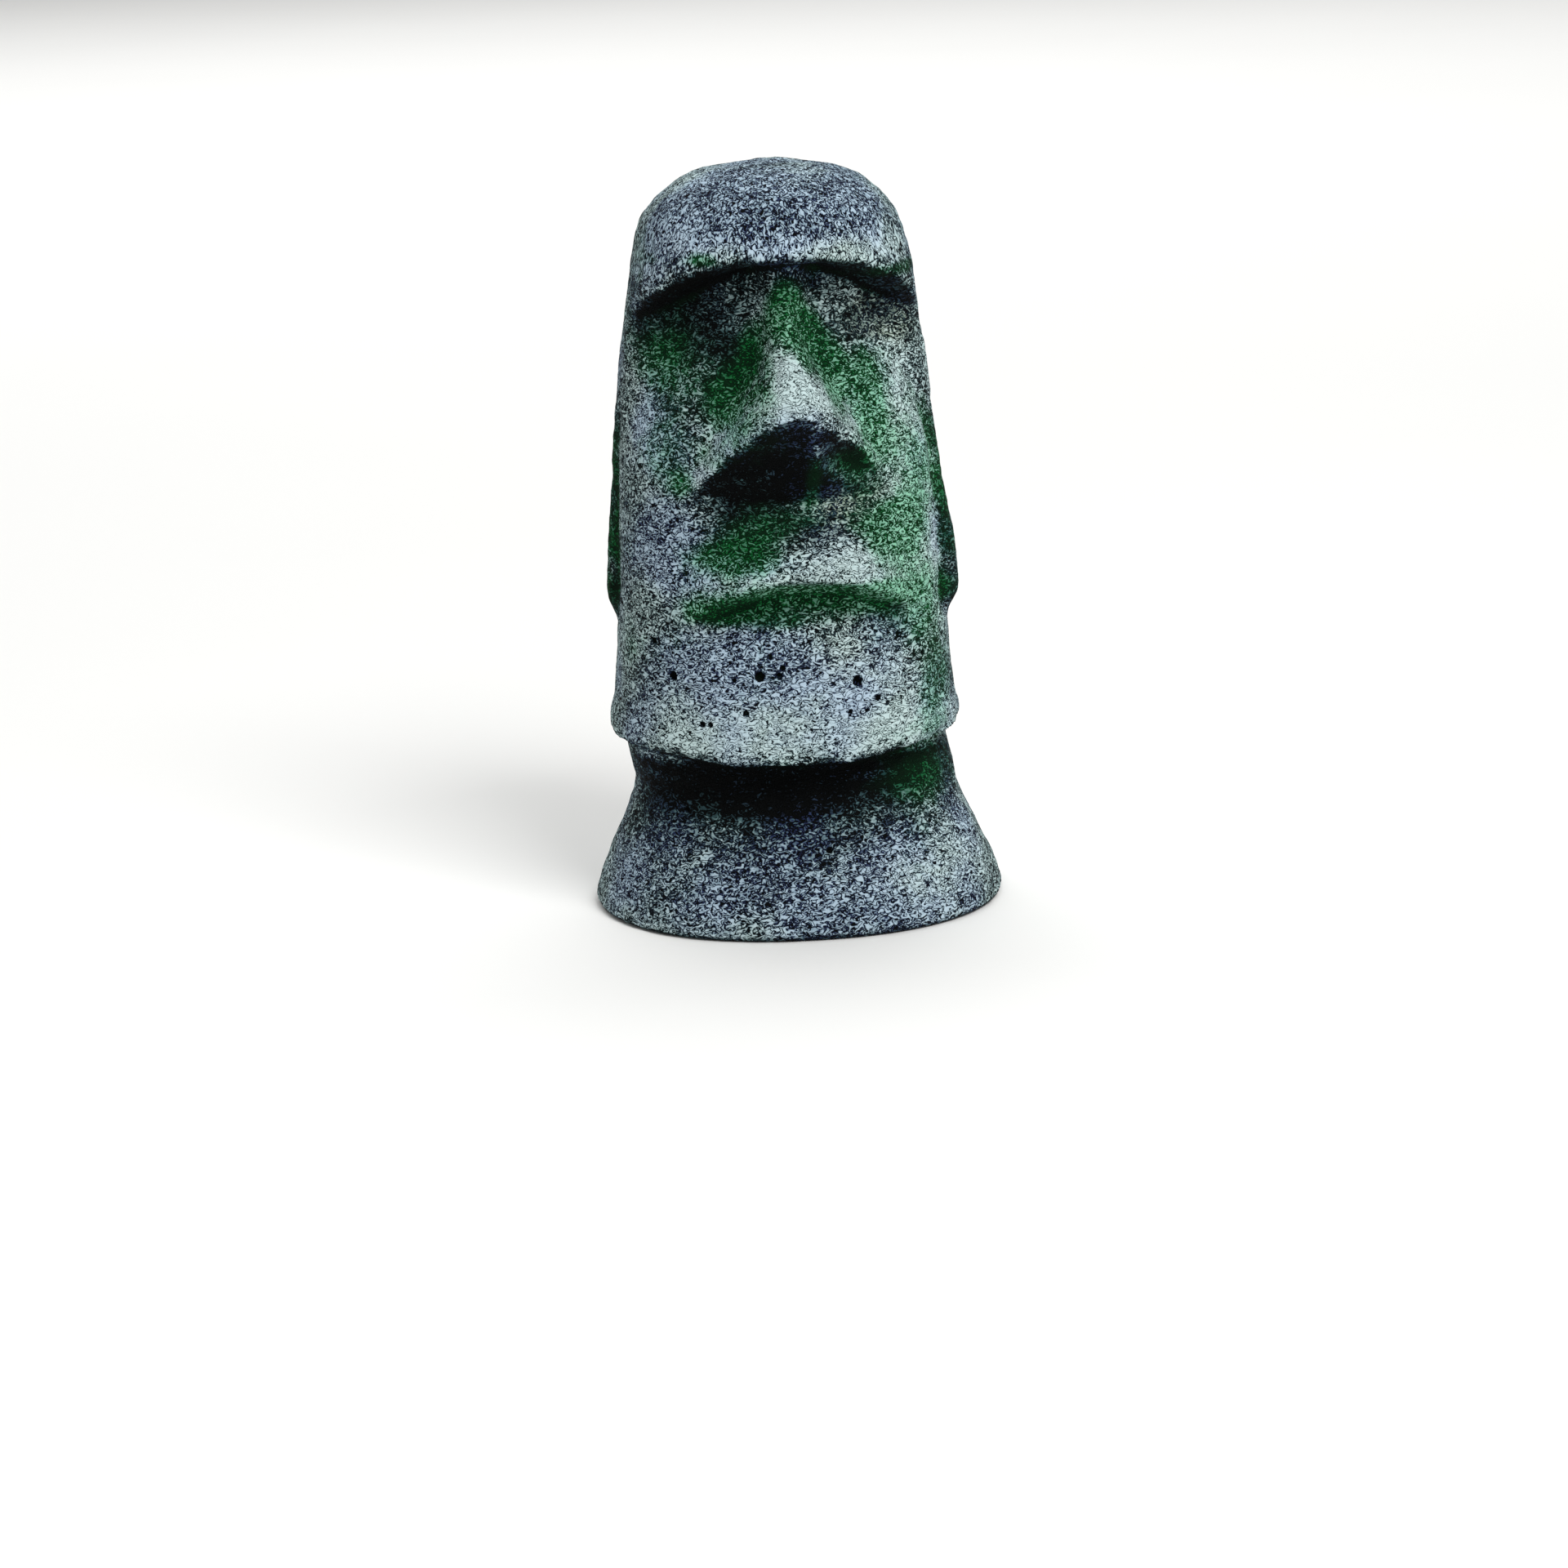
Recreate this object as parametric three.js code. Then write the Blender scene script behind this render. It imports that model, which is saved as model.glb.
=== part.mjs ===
// A moai head, cast in one piece in stone-like concrete as a table statue, and cut off flat below the neck.
// Millimetres, +Z up. The face looks along -Y, so +X is at the right hand of someone who faces it.
// The origin is the middle of the flat underside.
import * as THREE from 'three';
import { LoftGeometry } from 'three/addons/geometries/LoftGeometry.js';

// Driving dimensions.
const HEIGHT = 132.5;
const HEAD_WIDTH = 63; // across the jaw, the widest place of the head
const HEAD_DEPTH = 52; // from the front of the jaw to the back of the head, without nose and lips
const FOOT_WIDTH = 74;
const FOOT_DEPTH = 66;
const FOOT_FORWARD = 4; // the foot reaches this much further forward than backward
const FOOT_SIDE = 1.5; // neck and foot stand this far to the right of the head
const FOOT_ROUNDING = 1.4; // worn edge round the underside

// The carving follows the driving dimensions: these are 1 at the sizes above.
const up = HEIGHT / 132.5;
const across = HEAD_WIDTH / 63;
const deep = HEAD_DEPTH / 52;

// Levels of the carving on the midline of the face.
const NECK_LEVEL = 23.5 * up;
const LEDGE_LEVEL = 28 * up; // under the jaw
const JAW_LEVEL = 29.6 * up;
const CHIN_LEVEL = 42 * up;
const LIP_LEVEL = 65.1 * up; // the slit of the mouth
const NOSE_FOOT_LEVEL = 75.8 * up;
const NOSE_TIP_LEVEL = 92.8 * up;
const NOSE_ROOT_LEVEL = 114 * up;
const BROW_LEVEL = 117.4 * up; // the lower edge of the brow

// The jaw's lower edge rises this much towards the sides.
const JAW_RISE = 2.1 * up;

// Brow and eye hollows. The brow's lower edge runs level over the nose and drops towards the temples.
const BROW_DROP = 11.2 * up;
const BROW_LEVEL_TO = 12; // degrees from the front
const BROW_SWELL = 1.3 * deep;
const EYE_HOLLOW = 7 * deep;
const EYE_FOOT_DROP = 30 * up; // from the brow's edge down to where the hollow runs out into the cheek
const ROOT_SHARE = 0.5; // of the eye hollow's depth, at the root of the nose

// Nose. Its left wing is longer and hangs lower than its right one.
const NOSE_PROJECTION = 15.2 * deep;
const NOSE_SIDE = -1 * across;
const LEFT_WING = { span: 17 * across, drop: 14.6 * up, curve: 1.45 };
const RIGHT_WING = { span: 17.5 * across, drop: 11.8 * up, curve: 1.7 };
const NOSE_ROUNDING = 3; // 2 is a round bridge, and more is flatter
const SEPTUM = { side: 3 * across, width: 2.4 * across, height: 1.4 * deep };
const LEFT_NOSTRIL = { side: -6 * across, width: 8 * across, depth: 2.6 * deep };
const RIGHT_NOSTRIL = { side: 9.5 * across, width: 6 * across, depth: 2.2 * deep };
const NOSTRIL_LEVEL = 85 * up;
const NOSTRIL_HEIGHT = 6.5 * up;

// Mouth: two thin pressed lips that stand forward in an arch, over a hollow above the chin.
const MOUTH_SIDE = 1.5 * across;
const MOUTH_SPAN = 20.5 * across;
const MOUTH_ARCH = 7.4 * up; // the corners are this much lower than the middle
const MUZZLE = { projection: 1.7 * deep, height: 12 * up };
const UPPER_LIP = { projection: 3.2 * deep, height: 5.4 * up };
const LOWER_LIP_HEIGHT = 2.8 * up;
const SLIT = { depth: 0.9 * deep, height: 1.1 * up };
const UNDER_LIP = { depth: 2.1 * deep, drop: 6.6 * up, height: 5 * up };

// Ears: long panels on the sides of the head, hollowed inside and ending in a lobe beside the mouth.
// The right ear sits further forward than the left one, and its top lies flush with the head.
const EAR_TOP_LEVEL = 101 * up;
const EAR_LOBE_LEVEL = 53 * up;
const EAR_TAPER = 3.5 * deep; // the lobe is this much narrower than the top
const LEFT_EAR = {
  front: -1 * deep, back: 11 * deep, proud: 1.6 * across, fade: 1.05, groove: 0.4 * across,
};
const RIGHT_EAR = {
  front: -9.5 * deep, back: 6 * deep, proud: 2 * across, fade: 0.62, groove: 0.9 * across,
};
const EAR_HOLLOW = 1.1 * across;
const GROOVE_HALF = 2.6 * deep; // half the width of the groove between cheek and ear

// The rings of the loft: how many there are up to each level.
const RINGS = [
  { to: NECK_LEVEL, steps: 6 }, { to: LEDGE_LEVEL, steps: 2 }, { to: JAW_LEVEL, steps: 3 },
  { to: 33.4 * up, steps: 2 }, { to: CHIN_LEVEL, steps: 2 }, { to: 55.6 * up, steps: 4 },
  { to: 63 * up, steps: 6 }, { to: 69 * up, steps: 7 }, { to: NOSE_FOOT_LEVEL, steps: 5 },
  { to: NOSE_TIP_LEVEL, steps: 7 }, { to: 96 * up, steps: 3 }, { to: 108 * up, steps: 4 },
  { to: 115.4 * up, steps: 3 }, { to: BROW_LEVEL, steps: 4 }, { to: 119.2 * up, steps: 2 },
  { to: 126 * up, steps: 2 }, { to: 130.6 * up, steps: 3 }, { to: HEIGHT, steps: 2 },
];
// The points round each ring, by degrees from the front: close together over the face and at the ears.
const RIGHT_COLUMNS = [
  { to: 52, steps: 16 }, { to: 60, steps: 2 }, { to: 74, steps: 6 },
  { to: 98, steps: 3 }, { to: 106, steps: 2 }, { to: 180, steps: 6 },
];
const LEFT_COLUMNS = [
  { to: 56, steps: 17 }, { to: 78, steps: 3 }, { to: 92, steps: 5 },
  { to: 110, steps: 3 }, { to: 118, steps: 2 }, { to: 180, steps: 5 },
];

// 0 below low, 1 above high, and a smooth rise between them.
const rise = (low, high, value) => {
  const share = Math.min(1, Math.max(0, (value - low) / (high - low)));
  return share * share * (3 - 2 * share);
};

// A smooth hump of height 1 round a middle, gone at one reach from it.
const hump = (middle, reach, value) => Math.max(0, 1 - ((value - middle) / reach) ** 2) ** 2;

// A curve through [place, value] pairs that never swings past them.
function through(pairs) {
  const slopes = pairs.slice(1).map(([place, value], i) => (value - pairs[i][1]) / (place - pairs[i][0]));
  const tangents = pairs.map((pair, i) => {
    const before = slopes[Math.max(0, i - 1)];
    const after = slopes[Math.min(slopes.length - 1, i)];
    return before * after <= 0 ? 0 : (2 * before * after) / (before + after);
  });
  return (place) => {
    const i = Math.min(slopes.length - 1, Math.max(0, pairs.findIndex(([next]) => next > place) - 1));
    const beyond = place >= pairs.at(-1)[0];
    const [from, value] = pairs[beyond ? slopes.length - 1 : i];
    const [to, nextValue] = pairs[beyond ? slopes.length : i + 1];
    const t = Math.min(1, Math.max(0, (place - from) / (to - from)));
    const k = beyond ? slopes.length - 1 : i;
    return (1 + 2 * t) * (1 - t) ** 2 * value + t * (1 - t) ** 2 * (to - from) * tangents[k]
      + t * t * (3 - 2 * t) * nextValue + t * t * (t - 1) * (to - from) * tangents[k + 1];
  };
}

// Half width, front depth and back depth of the plain block by height, as shares of the driving sizes.
const head = HEAD_WIDTH / 2;
const foot = FOOT_WIDTH / 2;
const halfWidth = through([
  [0, foot], [3 * up, 0.985 * foot], [9 * up, 0.915 * foot], [14 * up, 0.855 * foot],
  [19 * up, 0.79 * foot], [NECK_LEVEL, 0.912 * head], [LEDGE_LEVEL, 0.915 * head],
  [29 * up, 0.935 * head], [JAW_LEVEL, 0.99 * head],
  [32.5 * up, head], [38.5 * up, 0.965 * head], [50 * up, 0.938 * head], [70 * up, 0.921 * head],
  [82 * up, 0.901 * head], [94 * up, 0.873 * head], [106 * up, 0.815 * head], [117.3 * up, 0.762 * head],
  [123 * up, 0.706 * head], [126.9 * up, 0.605 * head], [129.2 * up, 0.51 * head], [131.4 * up, 0.33 * head],
  [HEIGHT, 0.07 * head],
]);
const toe = (FOOT_DEPTH + FOOT_FORWARD) / 2;
const front = through([
  [0, toe], [4 * up, 0.96 * toe], [11 * up, 0.82 * toe], [17 * up, 0.68 * toe],
  [NECK_LEVEL, 0.39 * HEAD_DEPTH], [LEDGE_LEVEL, 0.39 * HEAD_DEPTH],
  [29 * up, 0.415 * HEAD_DEPTH], [JAW_LEVEL, 0.495 * HEAD_DEPTH],
  [32.5 * up, 0.506 * HEAD_DEPTH], [CHIN_LEVEL, 0.51 * HEAD_DEPTH], [58 * up, 0.492 * HEAD_DEPTH],
  [74 * up, 0.482 * HEAD_DEPTH], [88 * up, 0.462 * HEAD_DEPTH], [106 * up, 0.455 * HEAD_DEPTH],
  [117.3 * up, 0.46 * HEAD_DEPTH], [123.5 * up, 0.42 * HEAD_DEPTH], [127.5 * up, 0.345 * HEAD_DEPTH],
  [130 * up, 0.255 * HEAD_DEPTH], [131.6 * up, 0.15 * HEAD_DEPTH], [HEIGHT, 0.03 * HEAD_DEPTH],
]);
const heel = (FOOT_DEPTH - FOOT_FORWARD) / 2;
const back = through([
  [0, heel], [5 * up, 0.97 * heel], [14 * up, 0.87 * heel], [NECK_LEVEL, 0.455 * HEAD_DEPTH],
  [LEDGE_LEVEL, 0.458 * HEAD_DEPTH], [JAW_LEVEL, 0.475 * HEAD_DEPTH], [44 * up, 0.488 * HEAD_DEPTH],
  [66 * up, 0.5 * HEAD_DEPTH], [93 * up, 0.485 * HEAD_DEPTH], [111 * up, 0.45 * HEAD_DEPTH],
  [120 * up, 0.41 * HEAD_DEPTH], [126 * up, 0.345 * HEAD_DEPTH], [129.5 * up, 0.255 * HEAD_DEPTH],
  [131.5 * up, 0.15 * HEAD_DEPTH], [HEIGHT, 0.03 * HEAD_DEPTH],
]);
// How square each ring is: 2 is an ellipse, and more is squarer.
const squareness = through([
  [0, 2.15], [NECK_LEVEL, 2.25], [JAW_LEVEL, 2.2], [60 * up, 2.4], [112 * up, 2.35], [HEIGHT, 2.1],
]);
const reachOf = (turn, power) =>
  (Math.abs(Math.sin(turn)) ** power + Math.abs(Math.cos(turn)) ** power) ** (-1 / power);

// The rows of points bend with the carving. These are the drops of the rows at the jaw, the mouth, the foot
// and the tip of the nose and the brow, by the distance from the midline and the angle from the front.
const FACE_HALF = 0.92 * head;
const wingAt = (aside) => (aside < 0 ? LEFT_WING : RIGHT_WING);
const mouthDrop = (side) => MOUTH_ARCH * Math.min(1, Math.abs(side - MOUTH_SIDE) / MOUTH_SPAN) ** 2;
const noseFootDrop = (side) => {
  const out = Math.abs(side);
  return 5.6 * up * rise(17 * across, FACE_HALF, out) - 1.2 * up * rise(3 * across, 14 * across, out);
};
const noseTipDrop = (side) => {
  const wing = wingAt(side - NOSE_SIDE);
  const out = Math.abs(side - NOSE_SIDE) / wing.span;
  return out < 1 ? wing.drop * out ** wing.curve : wing.drop + (BROW_DROP - wing.drop) * rise(1, 1.4, out);
};
const jawDrop = (side) => -JAW_RISE * rise(6 * across, 27 * across, Math.abs(side));
const browDrop = (side, degrees) => BROW_DROP * rise(BROW_LEVEL_TO, 95, degrees);
const none = () => 0;
const BENDS = [
  [0, none], [NECK_LEVEL, none], [LEDGE_LEVEL, jawDrop], [JAW_LEVEL, jawDrop], [LIP_LEVEL, mouthDrop],
  [NOSE_FOOT_LEVEL, noseFootDrop], [NOSE_TIP_LEVEL, noseTipDrop], [BROW_LEVEL, browDrop],
  [123 * up, (side, degrees) => 0.8 * browDrop(side, degrees)],
  [130.6 * up, (side, degrees) => 0.12 * browDrop(side, degrees)], [HEIGHT, none],
];

function heightOf(level, column) {
  const i = Math.max(1, BENDS.findIndex(([next]) => next >= level));
  const [[from, lower], [to, upper]] = [BENDS[i - 1], BENDS[i]];
  const share = (level - from) / (to - from);
  const { side, degrees } = column;
  return level - (1 - share) * lower(side, degrees) - share * upper(side, degrees);
}

// The ridge of the nose above the face by height, and the nose's half width from a wing's foot to the root.
const noseRidge = through([
  [NOSE_FOOT_LEVEL, 0.62], [84 * up, 0.9], [NOSE_TIP_LEVEL, 1], [96 * up, 0.88],
  [100 * up, 0.62], [106 * up, 0.27], [NOSE_ROOT_LEVEL, 0],
]);
const noseSpread = through([
  [0, 1], [0.05, 0.97], [0.25, 0.74], [0.44, 0.53], [0.62, 0.32], [0.76, 0.2], [1, 0.17],
]);

// How far the nose stands forward of the face at a row of this level.
function nose(level, column) {
  const aside = column.side - NOSE_SIDE;
  const wing = wingAt(aside);
  const out = Math.abs(aside) / wing.span;
  const foot = NOSE_TIP_LEVEL - wing.drop;
  if (out >= 1 || level < NOSE_FOOT_LEVEL || level > NOSE_ROOT_LEVEL) return 0;
  const onTop = (z) => {
    const share = Math.min(1, out / noseSpread((z - foot) / (NOSE_ROOT_LEVEL - foot)));
    return NOSE_PROJECTION * noseRidge(z) * (1 - share ** NOSE_ROUNDING);
  };
  if (level >= NOSE_TIP_LEVEL) return onTop(heightOf(level, column));
  // The underside slopes from the edge back to the upper lip, hollowed by the nostrils beside a septum.
  const share = (level - NOSE_FOOT_LEVEL) / (NOSE_TIP_LEVEL - NOSE_FOOT_LEVEL);
  const tall = hump(NOSTRIL_LEVEL, NOSTRIL_HEIGHT, level);
  const hollow = (nostril) => nostril.depth * hump(nostril.side, nostril.width, column.side);
  const septum = SEPTUM.height * hump(SEPTUM.side, SEPTUM.width, column.side);
  const carved = septum - hollow(LEFT_NOSTRIL) - hollow(RIGHT_NOSTRIL);
  return onTop(heightOf(NOSE_TIP_LEVEL, column)) * share + tall * carved;
}

// How far the lips stand forward, with the slit between them and the hollow under them.
function lips(level, column) {
  const above = heightOf(level, column) - heightOf(LIP_LEVEL, column);
  const out = Math.abs(column.side - MOUTH_SIDE) / MOUTH_SPAN;
  const wide = 1 - rise(0.45, 1, out);
  const below = rise(0.5, 2.1, -above / LOWER_LIP_HEIGHT);
  const muzzle = 1 - (above > 0 ? rise(0, 1, above / MUZZLE.height) : below);
  const lip = 1 - (above > 0 ? rise(0.3, 1, above / UPPER_LIP.height) : below);
  const parted = SLIT.depth * hump(0, SLIT.height, above) * (1 - rise(0.7, 1, out));
  const under = UNDER_LIP.depth * hump(-UNDER_LIP.drop, UNDER_LIP.height, above) * (1 - rise(0.6, 1.1, out));
  return wide * (MUZZLE.projection * muzzle + UPPER_LIP.projection * lip) - parted - under;
}

// The brow's swelling, and the hollow under its sharp lower edge.
function browAndEyes(level, column) {
  const below = heightOf(BROW_LEVEL, column) - heightOf(level, column);
  const swell = BROW_SWELL * (below > 0 ? 1 - rise(0, 1.4 * up, below) : 1 - rise(0, 8 * up, -below));
  const depth = rise(0.1 * up, 1.9 * up, below) * (1 - rise(5 * up, EYE_FOOT_DROP, below));
  const beside = ROOT_SHARE + (1 - ROOT_SHARE) * rise(1.5 * across, 9 * across, Math.abs(column.side));
  const hollow = EYE_HOLLOW * depth * beside;
  return swell * (1 - rise(40, 74, column.degrees)) - hollow * (1 - rise(46, 84, column.degrees));
}

// How far an ear stands out from the side of the head, with the groove between it and the cheek.
function ear(side, y, z) {
  const { front: fore, back: aft, proud, fade, groove } = side < 0 ? LEFT_EAR : RIGHT_EAR;
  const climb = (z - EAR_LOBE_LEVEL) / (EAR_TOP_LEVEL - EAR_LOBE_LEVEL);
  const lobe = rise(-0.03, 0.07, climb);
  const rear = aft - EAR_TAPER * (1 - rise(0.1, 0.75, climb));
  const wide = rise(fore - 1.5 * deep, fore + deep, y) * (1 - rise(rear - 0.6 * deep, rear + 1.8 * deep, y));
  const stand = proud * lobe * (1 - rise(0.1, fade, climb)) * wide;
  const hollow = EAR_HOLLOW * hump((fore + rear) / 2, 5 * deep, y) * hump(0.62, 0.36, climb);
  const cut = groove * lobe * (1 - rise(0.75, 1, climb)) * hump(fore - 2 * deep, GROOVE_HALF, y);
  return stand - hollow - cut;
}

// One point of the statue's skin, on the row of this level.
function skin(level, column) {
  const z = heightOf(level, column);
  // The block's profile follows the bent rows up to the jaw, and the true height from the chin up.
  const place = level + (z - level) * rise(JAW_LEVEL, CHIN_LEVEL, level);
  const reach = reachOf(column.turn, squareness(place));
  const wide = halfWidth(place);
  const depth = column.degrees < 90 ? front(place) : back(place);
  const point = new THREE.Vector3(wide * Math.sin(column.turn), -depth * Math.cos(column.turn), 0);
  point.multiplyScalar(reach).setZ(z);
  const outward = new THREE.Vector3(point.x / wide ** 2, point.y / depth ** 2, 0).normalize();
  const beside = ear(column.side, point.y, z) * rise(48, 62, column.degrees);
  point.addScaledVector(outward, browAndEyes(level, column));
  point.y -= (nose(level, column) + lips(level, column)) * (1 - rise(62, 84, column.degrees));
  point.x += Math.sign(column.side) * beside * (1 - rise(128, 140, column.degrees));
  point.x += FOOT_SIDE * (1 - rise(NECK_LEVEL, JAW_LEVEL, z));
  return point;
}

// Splits each stretch of a list of { to, steps } into equal steps.
const divide = (stretches, start) => stretches.flatMap(({ to, steps }, i) => {
  const from = i > 0 ? stretches[i - 1].to : start;
  return Array.from({ length: steps }, (none, step) => from + ((to - from) * (step + 1)) / steps);
});

const right = divide(RIGHT_COLUMNS, 0);
const left = divide(LEFT_COLUMNS, 0).slice(0, -1).reverse().map((degrees) => -degrees);
const columns = [0, ...right, ...left].map((angle) => {
  const turn = THREE.MathUtils.degToRad(angle);
  const side = FACE_HALF * Math.sin(turn) * reachOf(turn, squareness(CHIN_LEVEL));
  return { turn, degrees: Math.abs(angle), side };
});

// The underside is the lowest ring, drawn in by the worn edge.
function footRing(inset, z) {
  return columns.map((column) => {
    const edge = skin(FOOT_ROUNDING, column);
    return edge.multiplyScalar(1 - inset / edge.length()).setZ(z);
  });
}

const sections = [
  footRing(FOOT_ROUNDING, 0),
  footRing(0.3 * FOOT_ROUNDING, 0.3 * FOOT_ROUNDING),
  footRing(0, FOOT_ROUNDING),
  ...divide(RINGS, FOOT_ROUNDING).map((level) => columns.map((column) => skin(level, column))),
];

const statue = new THREE.Group();
const castConcrete = new THREE.MeshStandardMaterial({ color: 0x5c6b73, roughness: 0.92, metalness: 0 });
const moaiHead = new THREE.Mesh(new LoftGeometry(sections, { capStart: true, capEnd: true }), castConcrete);
moaiHead.name = 'moai_head';
statue.add(moaiHead);

export default statue;
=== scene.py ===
# %% [markdown]
# # A moai head, cast in stone-like concrete
#
# The real object is a table statue a little shorter than a hand. It is cast in one piece in a rubber
# mould, so its surface is rough like lava stone, with fine grain, a few air bubbles and worn edges. After
# casting it is painted black all over, then a nearly empty brush of pale blue-grey is dragged across it,
# which only touches the high spots, and last a thin green wash runs into the hollows. The lesson follows
# the maker: cast, weather, paint.

# %% Load the fixed frame
import math

import bmesh
import bpy
import numpy as np
from mathutils import Matrix, Vector, noise


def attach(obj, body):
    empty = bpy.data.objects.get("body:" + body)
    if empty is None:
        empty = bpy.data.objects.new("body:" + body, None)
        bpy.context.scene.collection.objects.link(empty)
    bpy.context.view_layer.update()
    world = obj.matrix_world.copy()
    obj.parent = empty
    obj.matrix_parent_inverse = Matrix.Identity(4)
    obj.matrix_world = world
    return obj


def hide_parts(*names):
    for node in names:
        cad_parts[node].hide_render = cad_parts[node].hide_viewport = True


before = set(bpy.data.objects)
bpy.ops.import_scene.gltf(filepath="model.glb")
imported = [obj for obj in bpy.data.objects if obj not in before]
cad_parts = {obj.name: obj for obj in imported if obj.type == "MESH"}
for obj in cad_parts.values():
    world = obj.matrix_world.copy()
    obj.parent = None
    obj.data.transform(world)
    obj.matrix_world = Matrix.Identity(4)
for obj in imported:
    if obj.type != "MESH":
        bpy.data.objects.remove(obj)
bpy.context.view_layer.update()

MM = 0.001

# %% [markdown]
# ## The camera
#
# A camera can be placed by eye, or from facts. Here the facts are known: it looks slightly down on the
# statue, from a little to the left of the face, through a long lens, and it is held a touch crooked,
# which leans the statue to the left in the frame. Building the camera's matrix from its own axes keeps
# each of these facts as one number.

# %% Place the camera
LENS = 95  # millimetres
SENSOR = 36  # millimetres wide
DISTANCE = 748 * MM
CAMERA_SIDE = math.radians(-6)
CAMERA_RISE = math.radians(14)
CAMERA_ROLL = math.radians(1.9)
AIM = Vector((0, 0, 20 * MM))
AIM_SIDE = -0.65 * MM

away = Vector((math.sin(CAMERA_SIDE) * math.cos(CAMERA_RISE),
               -math.cos(CAMERA_SIDE) * math.cos(CAMERA_RISE),
               math.sin(CAMERA_RISE)))
level_right = Vector((0, 0, 1)).cross(away).normalized()
level_up = away.cross(level_right)
right = level_right * math.cos(CAMERA_ROLL) - level_up * math.sin(CAMERA_ROLL)
up = level_up * math.cos(CAMERA_ROLL) + level_right * math.sin(CAMERA_ROLL)
camera_place = AIM + level_right * AIM_SIDE + away * DISTANCE

camera = bpy.data.objects.new("camera", bpy.data.cameras.new("camera"))
camera.data.lens = LENS
camera.data.sensor_width = SENSOR
camera.data.clip_start = 10 * MM
axes = Matrix((right, up, away)).transposed().to_4x4()
camera.matrix_world = Matrix.Translation(camera_place) @ axes
bpy.context.scene.collection.objects.link(camera)
bpy.context.scene.camera = camera
print("the camera stands at", [round(part, 3) for part in camera_place])

# %% [markdown]
# ## The casting
#
# The solid has the statue's whole carving, but its skin is made of long flat triangles, too few to carry
# any roughness. Subdividing would keep their uneven sizes. A voxel remesh gives even little squares all
# over instead, two thirds of a millimetre wide, which is what sculpting in Blender starts from. It also
# rounds sharp edges by about one square, as a mould does.

# %% Remesh a copy of the solid
GRID = 0.66 * MM
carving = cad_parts["moai_head"]


def rough_casting(source, name):
    mesh = bmesh.new()
    mesh.from_mesh(source.data)
    bmesh.ops.remove_doubles(mesh, verts=mesh.verts, dist=0.001 * MM)
    copy = bpy.data.objects.new(name, bpy.data.meshes.new(name))
    mesh.to_mesh(copy.data)
    mesh.free()
    bpy.context.scene.collection.objects.link(copy)
    remesh = copy.modifiers.new("even squares", "REMESH")
    remesh.mode = "VOXEL"
    remesh.voxel_size = GRID
    remesh.use_smooth_shade = True
    remeshed = copy.evaluated_get(bpy.context.evaluated_depsgraph_get())
    even = bpy.data.meshes.new_from_object(remeshed)
    copy.modifiers.clear()
    copy.data = even
    return copy


statue = rough_casting(carving, "cast_head")
print("squares in the casting:", len(statue.data.polygons))

# %% [markdown]
# ## Air bubbles
#
# Air caught against the mould leaves small round holes, most of them on the chin. Each hole is only a few
# squares wide, so the squares round it are first cut finer with the subdivide operator, and then pushed
# in as a bowl. The bubbles are set by their distance from the middle of the face and their height, like
# marks on a drawing.

# %% Press the bubbles in
BUBBLES = [  # across, height and radius in millimetres
    (-7.2, 45.8, 0.85), (-3.3, 47.4, 0.5), (-3.4, 46.0, 0.6), (10.4, 43.8, 0.85),
    (13.7, 40.7, 0.45), (8.8, 38.9, 0.4), (11.9, 38.6, 0.35), (-16.9, 37.5, 0.5),
    (-15.6, 37.5, 0.4), (-9.6, 39.4, 0.5), (-21.8, 45.3, 0.7), (-24.7, 51.3, 0.55),
    (17.9, 51.1, 0.45), (-11.5, 45.5, 0.35), (-5.1, 49.3, 0.4), (22.5, 47.0, 0.4), (4.5, 14.0, 0.5),
    (-20.0, 20.5, 0.4),
]
FACING_FRONT = -0.2  # a point whose normal leans at least so far to the front can hold a bubble
BOWL_REACH = 1.3  # the bowl's sides end this many radii from its middle
BOWL_DEPTH = 1.3  # in radii
BOWL_CURVE = 0.7  # under 1 gives steeper sides and a flatter middle
FINER_REACH = 1.5  # the squares are cut finer this many radii from the middle, and one square further


def press_bubbles(piece, bubbles):
    mesh = bmesh.new()
    mesh.from_mesh(piece.data)
    mesh.normal_update()
    front = [vertex for vertex in mesh.verts if vertex.normal.y < FACING_FRONT]
    centres = []
    for across, height, radius in bubbles:
        mark = Vector((across * MM, height * MM))
        nearest = min(front, key=lambda vertex: (vertex.co.xz - mark).length_squared)
        centres.append((nearest.co.copy(), nearest.normal.copy(), radius * MM))
    near = [edge for edge in mesh.edges
            if any((edge.verts[0].co - centre).length < FINER_REACH * radius + GRID
                   for centre, outward, radius in centres)]
    bmesh.ops.subdivide_edges(mesh, edges=near, cuts=2, use_grid_fill=True)
    for centre, outward, radius in centres:
        for vertex in mesh.verts:
            share = (vertex.co - centre).length / radius
            if share < BOWL_REACH:
                bowl = max(0, 1 - (share / BOWL_REACH) ** 2) ** BOWL_CURVE
                vertex.co -= outward * radius * BOWL_DEPTH * bowl
    mesh.to_mesh(piece.data)
    mesh.free()
    return [(np.array(centre), np.array(outward), radius) for centre, outward, radius in centres]


bubbles = press_bubbles(statue, BUBBLES)
print("squares after the bubbles:", len(statue.data.polygons))

# %% [markdown]
# ## Reading the shape
#
# Both the wear and the paint follow the shape: edges chip and catch the dry brush, and hollows stay dark,
# from the black base coat the brush missed and from painted shade laid there. So the mesh is asked how far
# each point lies above or below the average of its surroundings. Averaging each point with its neighbours
# many times and comparing does that; a few rounds show fine edges, and many rounds show broad forms.

# %% Measure ridges and hollows
OWN_SHARE = 0.4  # of a point's own value that is kept in each round of averaging
FINE_ROUNDS = 14
BROAD_ROUNDS = 110


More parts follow.
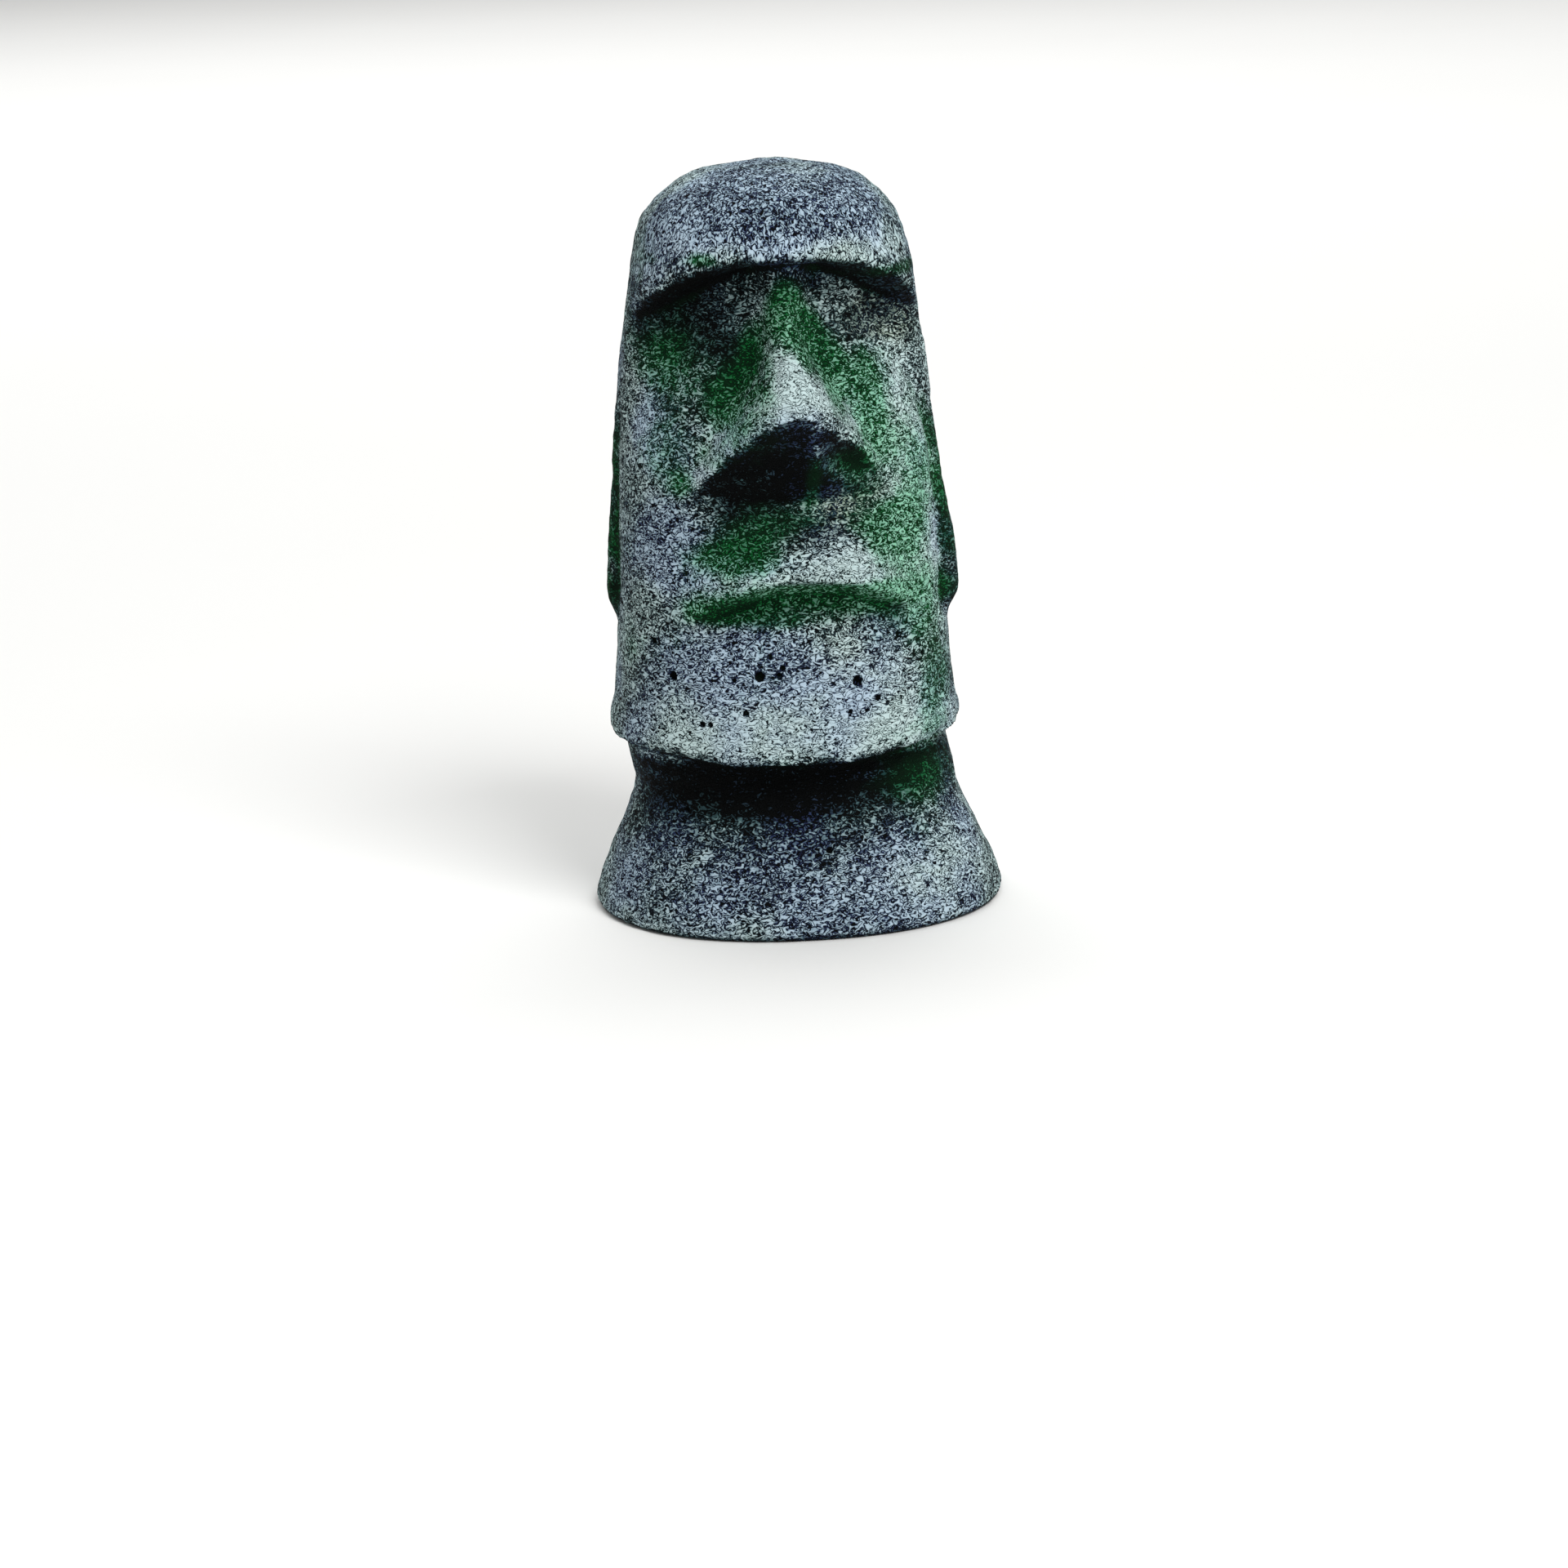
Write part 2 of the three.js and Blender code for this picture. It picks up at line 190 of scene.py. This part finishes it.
def array_of(mesh, kind):
    values = np.empty(len(mesh.vertices) * 3)
    mesh.vertices.foreach_get(kind, values)
    return values.reshape(-1, 3)


def average(places, edges, rounds):
    count = np.bincount(edges.ravel(), minlength=len(places))[:, None]
    first, second = edges[:, 0], edges[:, 1]
    for turn in range(rounds):
        total = np.zeros_like(places)
        for axis in range(3):
            along = places[:, axis]
            total[:, axis] = np.bincount(first, along[second], len(places))
            total[:, axis] += np.bincount(second, along[first], len(places))
        places = OWN_SHARE * places + (1 - OWN_SHARE) * total / count
    return places


def edges_of(mesh):
    pairs = np.empty(len(mesh.edges) * 2, dtype=np.int32)
    mesh.edges.foreach_get("vertices", pairs)
    return pairs.reshape(-1, 2)


def rise(low, high, values):
    share = np.clip((values - low) / (high - low), 0, 1)
    return share * share * (3 - 2 * share)


def standing_out(mesh, rounds):
    place, outward, edges = array_of(mesh, "co"), array_of(mesh, "normal"), edges_of(mesh)
    return ((place - average(place, edges, rounds)) * outward).sum(axis=1) / MM


fine_form = standing_out(statue.data, FINE_ROUNDS)
broad_form = standing_out(statue.data, BROAD_ROUNDS)
print("fine form from", fine_form.min().round(2), "to", fine_form.max().round(2), "mm;",
      "broad form from", broad_form.min().round(2), "to", broad_form.max().round(2), "mm")

# %% [markdown]
# ## Weathered surface
#
# Three sizes of roughness make it stone: slow waves from hand carving, lumps a few millimetres wide, and
# the coarse end of the grain. They are moved into the mesh, because they show against the sky at the
# outline. The finest grain is left to the paint. Edges lose chips. The underside stays flat, so that the
# statue still stands.

# %% Roughen and chip the casting
ROUGHNESS = [  # how far it moves the skin and how wide its lumps are, in millimetres, and its seed
    (0.30, 12, 3), (0.16, 4.5, 5), (0.11, 1.9, 8), (0.08, 1.2, 11),
]
CHIP_DEPTH = 0.75  # millimetres
CHIPPED_EDGE = (0.10, 0.32)  # millimetres that an edge stands out, from whole to fully chipped
CHIPPED_NOISE = (0.05, 0.45)  # the same for the noise that leaves gaps between the chips
FLAT_FOOT = (0.3, 2.5)  # millimetres over the floor, from smooth to fully rough


def noise_at(places, size, seed):
    start = Vector((seed, 2.7 * seed, -1.3 * seed))
    return np.array([noise.noise(Vector(place) / size + start) for place in places])


def weather(piece):
    place, outward = array_of(piece.data, "co"), array_of(piece.data, "normal")
    height = place[:, 2] / MM
    rough = sum(reach * noise_at(place, width * MM, seed) for reach, width, seed in ROUGHNESS)
    chip_noise = noise_at(place, 3.4 * MM, 14) + 0.5 * noise_at(place, 1.5 * MM, 17)
    chips = CHIP_DEPTH * rise(*CHIPPED_EDGE, fine_form) * rise(*CHIPPED_NOISE, chip_noise)
    free = rise(*FLAT_FOOT, height)
    place += outward * ((rough - chips) * free * MM)[:, None]
    piece.data.vertices.foreach_set("co", place.ravel())
    piece.data.update()


weather(statue)
print("the weathered statue is", round(statue.dimensions.z / MM, 1), "mm tall")

# %% [markdown]
# ## What the brushes touched, with painted light and shade
#
# The maker's strokes are stored on the mesh as four numbers per point: how much pale paint was dragged
# on, with painted shade and painted highlights laid into that same number, how green the wash is, and how
# blue and how tan the grey is. A picture could hold them too, but numbers on the points need no
# unwrapping. Strokes are soft ovals on the front of the statue, each with a place, a size and a strength;
# the shape decides the rest, and lays painted shade in hollows and under overhangs.

# %% Lay the strokes
# Pale dry-brush strokes, together with painted shade and painted highlights laid as strokes
PALE_AND_PAINTED_LIGHT_STROKES = [  # across, height, half width, half height in millimetres, strength
    # forehead and brow
    (0, 127, 24, 5, -0.05), (-19, 123, 6, 5, 0.06), (-6, 119.6, 17, 1.8, 0.12),
    (12, 118.6, 13, 1.8, 0.22), (-23, 114.5, 5, 2.2, 0.24),
    # under the brow, mostly painted shade in the eye sockets
    (-15, 111, 13, 4.5, -0.20), (-18, 104, 9, 5, -0.26), (1, 113, 8, 3, -0.14),
    (14, 112, 10, 3, -0.04), (15, 105, 9, 4, -0.14), (-8, 99, 4, 8, -0.30), (-14, 98, 5, 7, -0.14),
    (7.5, 102, 2.5, 6, -0.10), (11.5, 97, 2.5, 5, -0.02), (-13, 91, 3, 5, -0.10),
    (17.5, 93, 4, 8, 0.22), (17, 84, 3, 4, 0.12), (10.5, 85.6, 2.6, 2, -0.18),
    # nose, with painted highlights on its ridge and left flank and painted shade under and beside it
    (-1, 99, 3.5, 3.5, 0.34), (0, 95, 7, 3, 0.36), (-5.5, 93.6, 3, 2.8, 0.22),
    (-8.7, 91.4, 2.4, 2.6, 0.36), (-11.7, 87.8, 2.2, 2.6, 0.44), (-14.4, 83.6, 1.8, 2.4, 0.44),
    (-16.6, 80.2, 1.4, 1.8, 0.40), (7, 94.4, 3.2, 2.2, 0.34), (11.5, 90, 2.2, 2.8, 0.34),
    (13.4, 86.4, 1.6, 2.4, 0.30), (-7, 80.5, 9, 4.5, -0.34), (-3, 86.5, 5, 4, -0.16),
    (9, 81, 6, 3.5, -0.12), (14.6, 83.2, 1.6, 2, 0.24), (-7, 74.5, 10, 3, -0.26),
    (-9, 69, 7, 3, -0.18), (0, 70.5, 8, 2.5, -0.10), (9, 70.5, 6, 2, -0.10),
    (4.5, 76, 5, 2.4, 0.18),
    # lips, with a painted highlight along the upper lip
    (9, 65.6, 11, 2.2, 0.36), (19, 62.6, 7, 2.6, 0.42), (-10, 64, 12, 2, 0.14),
    (2, 62.6, 14, 0.9, 0.16), (1, 60.6, 16, 1.8, 0.30), (14, 58.4, 6, 2.4, 0.30),
    (-18, 58, 4, 4, 0.08), (-3, 56.6, 15, 2.0, -0.12), (22, 57.5, 3.5, 4.5, 0.46),
    # cheeks
    (-20, 92, 7, 7, -0.04), (-24, 87, 3, 9, 0.14), (-18, 66, 7, 7, 0.05), (-12, 76, 5, 4, -0.10),
    (21, 92, 4, 10, 0.04), (22, 82, 5, 8, 0.30), (22, 69, 5, 10, 0.28), (25.4, 66, 1.6, 13, 0.12),
    (24.4, 99, 2.5, 6, -0.10),
    # chin and jaw
    (0, 34, 26, 4.5, 0.26), (-6, 40, 16, 5, 0.16), (11, 43.5, 11, 6, 0.24), (17, 35, 9, 5, 0.14),
    (-16, 35, 7, 3, 0.14), (22, 33, 4, 3, 0.30), (-12, 50, 12, 4, 0.02), (25, 34, 4, 4, 0.20),
    # neck and foot, with painted shadow under the jaw
    (0, 27.8, 34, 1.4, -0.45), (0, 25.6, 34, 3, -0.50), (-4, 22, 30, 3.4, -0.34),
    (-3, 18, 24, 5, -0.20), (-26, 17, 7, 6, -0.12), (14, 26, 6, 2, 0.16), (22, 20, 7, 4, -0.04),
    (22, 9, 11, 7, 0.16), (-2, 12, 16, 4, -0.10),
]
GREEN_STROKES = [  # the same five numbers in each list
    # forehead and brow
    (-14, 118, 3, 1.6, 0.7), (20, 114, 8, 1.6, 0.6), (-4, 117, 20, 1.2, 0.3),
    # nose and beside it
    (0, 108, 3.5, 6, 1.0), (4, 103, 3, 5, 1.0), (8, 98, 2.6, 6, 0.9), (12, 98, 3, 6, 0.4),
    (-5.5, 100, 3, 6, 0.6), (-8, 96, 4, 5, 0.3), (8, 82, 5, 4, 0.5), (3, 80, 1.6, 5, 0.6),
    (-11, 92, 4, 6, 0.45), (14.5, 94, 3.4, 7, 0.8), (15, 85, 4, 6, 0.6), (12, 78, 4, 3, 0.35),
    # cheeks, first the whole of them and then patches
    (14, 84, 20, 34, 0.12), (0, 62, 26, 12, 0.18), (-14, 98, 14, 10, 0.28), (22, 40, 7, 30, 0.10),
    (-20, 99, 7, 6, 0.35), (-21, 84, 6, 8, 0.42), (-14, 84, 3, 3, 0.4), (-18.5, 79, 2.5, 3, 0.5),
    (22, 80, 5, 12, 0.45), (19, 69, 6, 7, 0.5), (-8, 72, 9, 4, 0.45), (6, 74, 8, 4, 0.35),
    (15, 71, 6, 4, 0.5), (23, 56, 5, 8, 0.42),
    # mouth
    (-11, 67, 8, 3, 0.6), (-13, 57.5, 7, 2.4, 0.7), (0, 60, 12, 2.2, 1.0), (12, 59, 8, 2.6, 1.0),
    (-2, 56, 14, 2.4, 0.5),
    # chin, neck and foot
    (25, 40, 4, 9, 0.6), (20, 33, 8, 3, 0.2), (19, 24, 12, 5, 0.5), (-22, 50, 6, 5, 0.25),
    (-4, 30, 12, 2, 0.2),
]
BLUE_STROKES = [
    (8, 100, 12, 14, -0.5), (-12, 106, 14, 8, -0.4), (4, 58, 14, 5, -0.4), (0, 127, 24, 7, 0.9),
    (-16, 121, 9, 7, 0.6), (-12, 48, 14, 8, 0.6), (4, 44, 14, 6, 0.4), (0, 10, 34, 10, 0.5),
    (-20, 68, 8, 8, 0.6), (-22, 86, 5, 6, 0.5), (-2, 92, 9, 6, 0.3), (-8, 66, 8, 2, 0.6),
]
TAN_STROKES = [
    (16, 106, 7, 5, 1.0), (22, 104, 4, 6, 0.5), (10, 77, 9, 4, 0.7), (4, 72, 10, 3, 0.4),
    (-26, 92, 3, 12, 0.3),
]
FRONTAL = (-0.15, 0.45)  # how far the skin must face the front, from none to all of a stroke
STROKE_FALL = 1.1  # fades a stroke to a third at its half width
STROKE_CURVE = 1.4  # over 1 gives a flatter middle and a steeper fall
EVEN_COAT = 0.52  # pale paint where neither the shape nor a stroke says more
EARS_BEYOND = 20  # millimetres from the middle line
# millimetres of depth or height at which the painted shade on the front of an ear begins, is full, is still
# full and ends
RIGHT_LOBE = (-12.5, -11, -9, -4.5)
LEFT_LOBE = (-4, -2, 0.5, 5)
LOBE_HEIGHTS = (49, 57, 80, 98)


def strokes(place, outward, marks):
    facing = rise(*FRONTAL, -outward[:, 1])
    total = np.zeros(len(place))
    for across, height, wide, tall, strength in marks:
        oval = ((place[:, 0] / MM - across) / wide) ** 2 + ((place[:, 2] / MM - height) / tall) ** 2
        total += strength * np.exp(-STROKE_FALL * oval ** STROKE_CURVE) * facing
    return total


def keep_on_points(piece, name, values):
    attribute = piece.data.attributes.new(name, "FLOAT", "POINT")
    attribute.data.foreach_set("value", np.clip(values, 0, 1).astype(np.float32))
    print(name, "from", values.min().round(2), "to", values.max().round(2), "mean", values.mean().round(2))


def between(values, begins, full, still_full, ends):
    return rise(begins, full, values) * (1 - rise(still_full, ends, values))


def paint_by_shape(piece):
    place, outward = array_of(piece.data, "co"), array_of(piece.data, "normal")
    under = rise(0.12, 0.62, -outward[:, 2])
    top = rise(0.2, 0.9, outward[:, 2])
    side = rise(0.82, 0.97, np.abs(outward[:, 0]))
    ridge = rise(0.05, 0.6, fine_form)
    hollow = rise(0.03, 0.7, -fine_form)
    broad_hollow = rise(0.2, 2.6, -broad_form)
    patches = 0.10 * noise_at(place, 9 * MM, 21) + 0.07 * noise_at(place, 3.5 * MM, 23)
    across, deep, height = place.T / MM
    # The front of each ear, in the groove behind the cheek, gets painted shade and green wash.
    right_lobe = (across > EARS_BEYOND) * between(deep, *RIGHT_LOBE)
    left_lobe = (across < -EARS_BEYOND) * between(deep, *LEFT_LOBE)
    lobe_shade = (right_lobe + left_lobe) * between(height, *LOBE_HEIGHTS)
    lobe_shade *= rise(-0.9, 0.2, noise_at(place, 6 * MM, 39))

    # Less pale coat in hollows and under overhangs: the black base coat that the dry brush missed, and
    # painted shade there. A little more on top: brushing from above, and painted light from above. Less
    # again on the front of the ears, as painted shade.
    pale = EVEN_COAT + 0.14 * ridge - 0.16 * hollow - 0.14 * broad_hollow
    pale += -0.34 * under - 0.36 * lobe_shade + 0.04 * top + patches
    # The holes get black base coat where no brush reaches, and painted shade inside them.
    for centre, axis, radius in bubbles:  # no brush reaches into them
        offset = place - centre
        depth = offset @ axis
        aside = np.linalg.norm(offset - depth[:, None] * axis, axis=1) / radius
        pale -= 1.2 * (1 - rise(0.75, 1.2, aside)) * (np.abs(depth) < 3 * radius)
    keep_on_points(piece, "pale", pale + strokes(place, outward, PALE_AND_PAINTED_LIGHT_STROKES))

    # Green wash runs into the hollows, and it is also laid on the front of the ears and on faces turned
    # sideways, as painted shade there.
    wash = 0.3 * hollow + 0.3 * broad_hollow + 0.65 * lobe_shade + 0.15 * side
    wash += 0.4 * noise_at(place, 14 * MM, 27) - 0.05
    keep_on_points(piece, "green", wash + strokes(place, outward, GREEN_STROKES))

    blue = 0.35 + 0.6 * noise_at(place, 10 * MM, 31)
    keep_on_points(piece, "blue", blue + strokes(place, outward, BLUE_STROKES))
    tan = 0.1 + 0.4 * noise_at(place, 12 * MM, 35)
    keep_on_points(piece, "tan", tan + strokes(place, outward, TAN_STROKES))


paint_by_shape(statue)

# %% [markdown]
# ## Paint as arithmetic
#
# A material is a sum of masks, and sums read better as sums than as boxes and wires. This small class
# lets Python's plus, minus, times and divide add the Math nodes. One method makes any other node, and two
# short ones fade a mask between two values and mix two colours.

# %% A socket that can be calculated with
class Wire:
    def __init__(self, tree, socket=None):
        self.tree = tree
        self.socket = socket

    def node(self, kind, settings=None, inputs=None, output=0):
        made = self.tree.nodes.new(kind)
        for name, value in (settings or {}).items():
            setattr(made, name, value)
        for name, value in (inputs or {}).items():
            if isinstance(value, Wire):
                self.tree.links.new(value.socket, made.inputs[name])
            else:
                made.inputs[name].default_value = value
        return Wire(self.tree, made.outputs[output])

    def math(self, operation, first, second=0.0):
        return self.node("ShaderNodeMath", {"operation": operation}, {0: first, 1: second})

    def __abs__(self):
        return self.math("ABSOLUTE", self)

    def __add__(self, other):
        return self.math("ADD", self, other)

    __radd__ = __add__

    def __sub__(self, other):
        return self.math("SUBTRACT", self, other)

    def __rsub__(self, other):
        return self.math("SUBTRACT", other, self)

    def __mul__(self, other):
        return self.math("MULTIPLY", self, other)

    __rmul__ = __mul__

    def __truediv__(self, other):
        return self.math("DIVIDE", self, other)

    def fade(self, low, high):
        return self.node("ShaderNodeMapRange", {"interpolation_type": "SMOOTHSTEP"},
                         {"Value": self, "From Min": low, "From Max": high})

    def mix(self, first, second):
        return self.node("ShaderNodeMix", {"data_type": "RGBA", "clamp_factor": True},
                         {0: self, 6: first, 7: second}, output=2)


# %% [markdown]
# ## The painted stone
#
# Dry brushing is a threshold: where the grain stands higher than the brush reached, it is pale, and
# elsewhere the black base shows. Here the low grain is a net of thin dark veins, which lie where a
# Noise texture passes through its middle value. The stored strokes widen the veins where the brush
# touched less and where painted shade is stored, and narrow them under painted highlights, so an area goes
# from nearly white to nearly black while the grain stays the same size.
# Three thresholds give black, grey, pale and a little chalk on the highest spots. The grain is drawn out
# crosswise on the face and upright on the forehead, as the brush was moved. It drives a Bump node too, so
# each vein is also a small groove.

# %% Mix the paint
def colour(red, green, blue):
    return tuple(((part / 255 + 0.055) / 1.055) ** 2.4 for part in (red, green, blue)) + (1,)


BASE_COAT = colour(3, 5, 6)
WASHED_BLACK = colour(4, 34, 16)
NAVY_GREY = colour(40, 50, 84)
TEAL_GREY = colour(40, 60, 64)
STONE_GREY = colour(62, 90, 92)
PALE_GREY = colour(176, 200, 200)
PALE_BLUE = colour(150, 172, 200)
DEEP_GREEN = colour(14, 90, 42)
STONE_GREEN = colour(34, 100, 62)
LIGHT_GREEN = colour(98, 166, 130)
TAN_GREY = colour(136, 146, 124)
CHALK = colour(208, 228, 228)
BLUE_CHALK = colour(196, 216, 232)
GREEN_CHALK = colour(140, 206, 170)

GRAIN = 1250  # waves of the grain in one metre
CROSSWISE = (0.72, 0.72, 1.12)  # its waves across, deep and up, where the brush went from side to side
UPRIGHT = (1.12, 1.12, 0.66)  # and where it went up and down
FINE_GRAIN = 3.6 * GRAIN
VEIN_WIDTH = 0.028  # how far the noise may be from its middle value in the thinnest veins
GROOVE_DEPTH = 0.35 * MM
SHINE = 0.06  # dull paint
FOREHEAD = (110 * MM, 118 * MM)  # between these heights the strokes turn upright


def painted_stone(name):
    material = bpy.data.materials.new(name)
    material.use_nodes = True
    tree = material.node_tree
    shader = tree.nodes["Principled BSDF"]
    start = Wire(tree)
    place = start.node("ShaderNodeTexCoord", output="Object")

    def speckle(per_metre, detail, distortion, stretch=(1, 1, 1)):
        drawn = start.node("ShaderNodeVectorMath", {"operation": "MULTIPLY"}, {0: place, 1: stretch})
        return start.node("ShaderNodeTexNoise", inputs={
            "Vector": drawn, "Scale": per_metre, "Detail": detail, "Roughness": 0.6,
            "Distortion": distortion})

    def stored(label):
        return start.node("ShaderNodeAttribute", {"attribute_name": label}, output="Fac")

    height = start.node("ShaderNodeSeparateXYZ", inputs={"Vector": place}, output="Z")
    forehead = height.fade(*FOREHEAD)
    crosswise = speckle(GRAIN, detail=0.6, distortion=1.3, stretch=CROSSWISE)
    upright = speckle(GRAIN, detail=0.6, distortion=1.0, stretch=UPRIGHT)
    grain = crosswise + forehead * (upright - crosswise)
    fine = speckle(FINE_GRAIN, detail=1.0, distortion=0.5)
    vein = abs(grain - 0.5)
    # The stored pale number carries the dry brush together with painted shade and painted highlights.
    brushed_and_painted_light = stored("pale")
    bare_and_painted_shade = 1 - brushed_and_painted_light
    green = (stored("green") + 0.5 * speckle(420, detail=2, distortion=0.5) - 0.25).fade(0.12, 0.85)
    width = VEIN_WIDTH + 0.04 * green + 0.2 * bare_and_painted_shade * bare_and_painted_shade
    cover = 0.5 + 0.5 * brushed_and_painted_light.fade(0.02, 0.26)
    reach = (vein / width + 0.4 * (fine - 0.5)) * cover
    grey = reach.fade(0.35, 0.80)
    pale = reach.fade(0.80, 1.45)
    bright = reach.fade(1.2, 3.2)
    blue = (stored("blue") + 0.6 * speckle(300, detail=2, distortion=0.3) - 0.3).fade(0.1, 0.9)
    tan = (stored("tan") + 0.4 * speckle(360, detail=2, distortion=0.3) - 0.2).fade(0.2, 0.9)

    light = brushed_and_painted_light.fade(0.10, 0.80)
    dark_tone = green.mix(BASE_COAT, WASHED_BLACK)
    middle_tone = green.mix(blue.mix(TEAL_GREY, NAVY_GREY), DEEP_GREEN)
    light_grey = tan.mix((0.7 * blue).mix(PALE_GREY, PALE_BLUE), TAN_GREY)
    light_green = light.mix(STONE_GREEN, LIGHT_GREEN)
    pale_tone = (0.7 * green).mix(light.mix(STONE_GREY, light_grey), light_green)
    chalk_tone = green.mix(blue.mix(CHALK, BLUE_CHALK), GREEN_CHALK)
    worn = (0.55 * bright).mix(pale_tone, chalk_tone)
    surface = pale.mix(grey.mix(dark_tone, middle_tone), worn)

    relief = 0.7 * vein.fade(0, 0.16) + 0.3 * fine
    bump = start.node("ShaderNodeBump", inputs={"Strength": 0.8, "Distance": GROOVE_DEPTH, "Height": relief})
    roughness = 0.78 + 0.16 * pale
    for socket, wire in (("Base Color", surface), ("Roughness", roughness), ("Normal", bump)):
        tree.links.new(wire.socket, shader.inputs[socket])
    shader.inputs["Specular IOR Level"].default_value = SHINE
    print("nodes in", name, len(tree.nodes))
    return material


statue.data.materials.clear()
statue.data.materials.append(painted_stone("dry_brushed_stone_with_painted_light"))
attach(statue, "root")
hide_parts("moai_head")

# %% [markdown]
# ## Floor and light
#
# The statue stands on a plain pale floor that runs far behind it. One large soft lamp, high in front and
# a little to the right, picks out the brow, the ridge of the nose and the lips and leaves what lies under
# them dark. A second one behind keeps the floor bright. The sky is a dim even white that fills the
# shadows.

# %% Set up the studio
FLOOR_REACH = 6  # metres from the middle of the floor to its edges
SKY = 0.34  # strength of the even white light


def pale_floor():
    mesh = bmesh.new()
    bmesh.ops.create_grid(mesh, x_segments=1, y_segments=1, size=FLOOR_REACH)
    floor = bpy.data.objects.new("floor", bpy.data.meshes.new("floor"))
    mesh.to_mesh(floor.data)
    mesh.free()
    material = bpy.data.materials.new("pale_floor")
    material.use_nodes = True
    tree = material.node_tree
    place = Wire(tree).node("ShaderNodeTexCoord", output="Object")
    cloud = Wire(tree).node("ShaderNodeTexNoise", inputs={"Vector": place, "Scale": 3.0, "Detail": 2.0})
    tone = cloud.mix(colour(243, 243, 241), colour(247, 247, 245))
    shader = tree.nodes["Principled BSDF"]
    tree.links.new(tone.socket, shader.inputs["Base Color"])
    shader.inputs["Roughness"].default_value = 0.9
    floor.data.materials.append(material)
    bpy.context.scene.collection.objects.link(floor)


def soft_lamp(name, place, aim, size, watts):
    light = bpy.data.lights.new(name, "AREA")
    light.size = size
    light.energy = watts
    lamp = bpy.data.objects.new(name, light)
    lamp.location = place
    lamp.rotation_euler = (Vector(aim) - Vector(place)).to_track_quat("-Z", "Y").to_euler()
    bpy.context.scene.collection.objects.link(lamp)
    print(name, "gives", watts, "W from", round((Vector(aim) - Vector(place)).length, 2), "m")


pale_floor()
soft_lamp("key_lamp", place=(0.30, -0.62, 0.78), aim=(0, 0, 0.06), size=0.45, watts=7.0)
soft_lamp("floor_lamp", place=(0, 1.6, 1.6), aim=(0, 1.4, 0), size=2.4, watts=36)

world = bpy.data.worlds.new("studio")
world.use_nodes = True
sky = world.node_tree.nodes["Background"]
sky.inputs["Color"].default_value = (1, 1, 1, 1)
sky.inputs["Strength"].default_value = SKY
bpy.context.scene.world = world
bpy.context.scene.view_settings.view_transform = "Standard"
